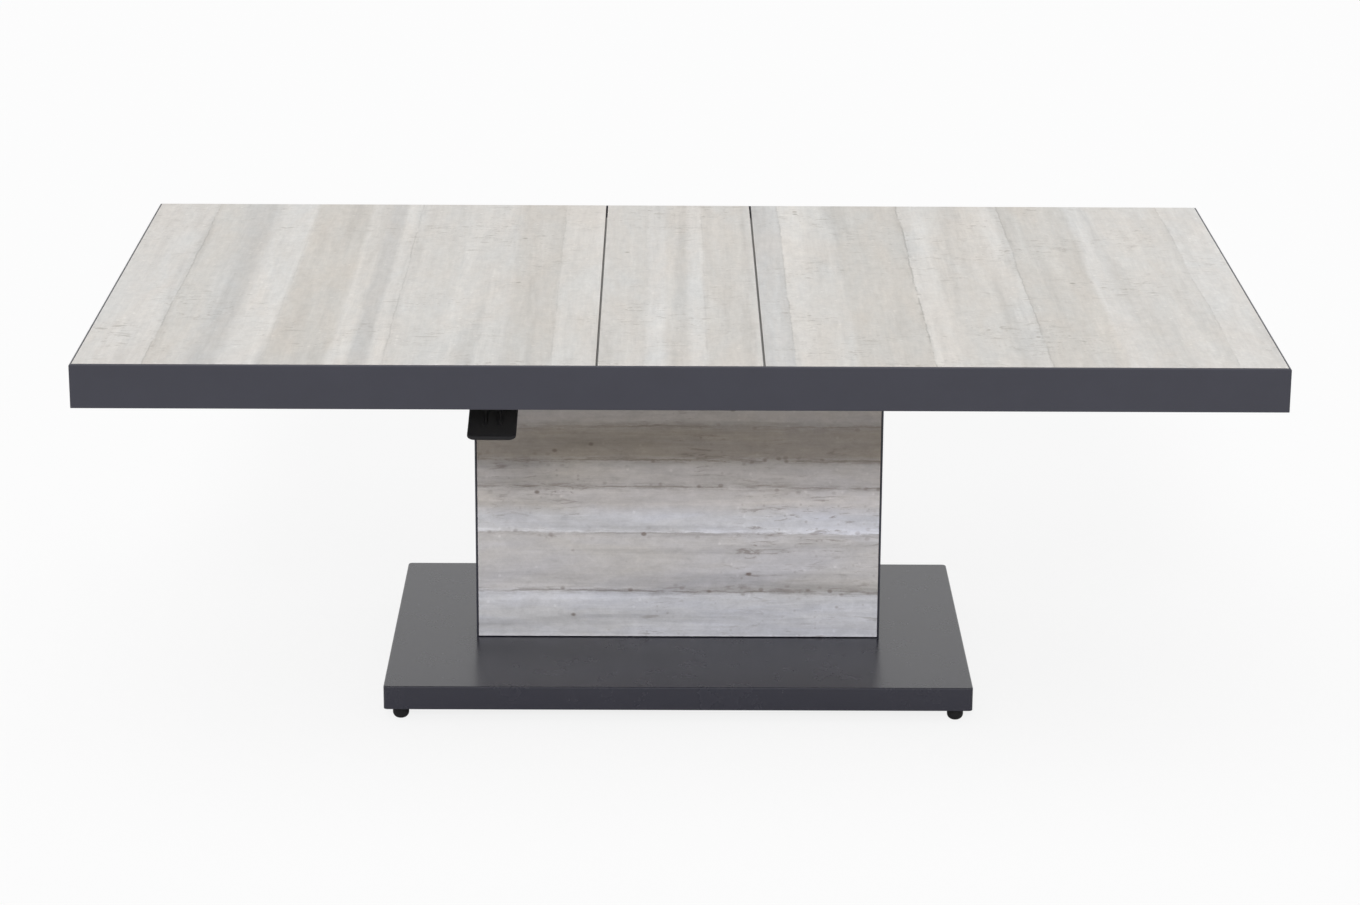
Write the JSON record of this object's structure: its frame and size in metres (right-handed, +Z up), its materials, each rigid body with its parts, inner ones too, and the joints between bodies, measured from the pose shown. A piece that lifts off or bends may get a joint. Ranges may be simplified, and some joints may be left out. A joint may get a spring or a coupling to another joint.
{
  "type": "height-adjustable garden table",
  "caption": "Low garden table with a framed ceramic tile top on a tile-clad telescopic pedestal and flat metal base; a paddle under the edge releases a gas lift.",
  "frame": {"origin": "floor level under the middle of the table, with the top lowered and the feet screwed in", "axes": "+X along the table's length to the right, +Y to the rear, +Z up; the paddle is at the front"},
  "size_m": [1.4, 0.8, 0.502],
  "materials": {
    "ceramic_tile": "matte",
    "anthracite_aluminium": "matte",
    "anthracite_steel": "satin",
    "zinc_steel": "satin",
    "chrome_rod": "polished",
    "black_steel": "satin",
    "plain_aluminium": "satin",
    "black_plastic": "matte",
    "white_nylon": "matte",
    "silicone_pad": "matte"
  },
  "bodies": {
    "base": {"base_tray": "anthracite_steel", "foot_nuts": "zinc_steel", "base_stiffener": "anthracite_steel", "base_bar_left": "anthracite_steel", "base_bar_right": "anthracite_steel", "base_bar_front": "anthracite_steel", "base_bar_rear": "anthracite_steel", "column_plate": "anthracite_steel", "column_bolts": "zinc_steel", "guide_tube_left": "anthracite_steel", "guide_tube_right": "anthracite_steel", "guide_bushes": "white_nylon", "gas_spring_cylinder": "black_steel", "casing_side_right": "anthracite_aluminium", "casing_side_left": "anthracite_aluminium", "casing_screws": "zinc_steel", "casing_backing_front": "anthracite_aluminium", "casing_backing_rear": "anthracite_aluminium", "casing_tile_front": "ceramic_tile", "casing_tile_rear": "ceramic_tile"},
    "top": {"rail_front": "anthracite_aluminium", "rail_rear": "anthracite_aluminium", "rail_left": "anthracite_aluminium", "rail_right": "anthracite_aluminium", "tile_left": "ceramic_tile", "tile_centre": "ceramic_tile", "tile_right": "ceramic_tile", "tile_pads": "silicone_pad", "cross_bar_outer_left": "anthracite_aluminium", "cross_bar_seam_left": "anthracite_aluminium", "cross_bar_seam_right": "anthracite_aluminium", "cross_bar_outer_right": "anthracite_aluminium", "top_plate": "anthracite_steel", "plate_bolts": "zinc_steel", "sleeve_front": "anthracite_aluminium", "sleeve_rear": "anthracite_aluminium", "sleeve_right": "anthracite_aluminium", "sleeve_left": "anthracite_aluminium", "small_screws": "zinc_steel", "inner_tube_left": "zinc_steel", "inner_tube_right": "zinc_steel", "glide_pads": "white_nylon", "gas_spring_rod": "chrome_rod", "gas_spring_piston": "plain_aluminium", "release_head": "plain_aluminium", "lever_pivot_pin": "zinc_steel", "shaft_bracket_left": "black_plastic", "shaft_bracket_right": "black_plastic"},
    "paddle": {"release_paddle": "black_plastic", "release_shaft": "zinc_steel", "crank_arm": "zinc_steel", "crank_pin": "zinc_steel"},
    "rod": {"push_rod": "zinc_steel"},
    "lever": {"release_lever": "zinc_steel", "lever_rod_pin": "zinc_steel"},
    "valve": {"valve_pin": "zinc_steel"},
    "foot_front_left_body": {"foot_front_left": "black_plastic"},
    "foot_front_right_body": {"foot_front_right": "black_plastic"},
    "foot_rear_left_body": {"foot_rear_left": "black_plastic"},
    "foot_rear_right_body": {"foot_rear_right": "black_plastic"}
  },
  "joints": [
    {"name": "lift", "type": "slide", "parent": "base", "child": "top", "axis": [0, 0, 1], "range_m": [0, 0.21084]},
    {"name": "squeeze", "type": "hinge", "parent": "top", "child": "paddle", "pos_m": [-0.2185, -0.276, 0.432], "axis": [-1, 0, 0], "range_deg": [0, 14], "stiffness_Nm_per_rad": 6, "springref_deg": -11.46},
    {"name": "rod_swing", "type": "hinge", "parent": "paddle", "child": "rod", "pos_m": [0, -0.27844, 0.45185], "axis": [-1, 0, 0], "range_deg": [-14, 0]},
    {"name": "lever_turn", "type": "hinge", "parent": "top", "child": "lever", "pos_m": [0, -0.016, 0.432], "axis": [-1, 0, 0], "range_deg": [0, 14]},
    {"name": "valve_press", "type": "slide", "parent": "top", "child": "valve", "axis": [0, 0, -1], "range_m": [0, 0.004]},
    {"name": "foot_front_left_level", "type": "slide", "parent": "base", "child": "foot_front_left_body", "axis": [0, 0, -1], "range_m": [0, 0.01]},
    {"name": "foot_front_right_level", "type": "slide", "parent": "base", "child": "foot_front_right_body", "axis": [0, 0, -1], "range_m": [0, 0.01]},
    {"name": "foot_rear_left_level", "type": "slide", "parent": "base", "child": "foot_rear_left_body", "axis": [0, 0, -1], "range_m": [0, 0.01]},
    {"name": "foot_rear_right_level", "type": "slide", "parent": "base", "child": "foot_rear_right_body", "axis": [0, 0, -1], "range_m": [0, 0.01]}
  ],
  "couplings": [
    {"joint": "rod_swing", "follows": "squeeze", "ratio": -1},
    {"joint": "lever_turn", "follows": "squeeze", "ratio": 1},
    {"joint": "valve_press", "follows": "squeeze", "m_per_rad": 0.01596}
  ]
}
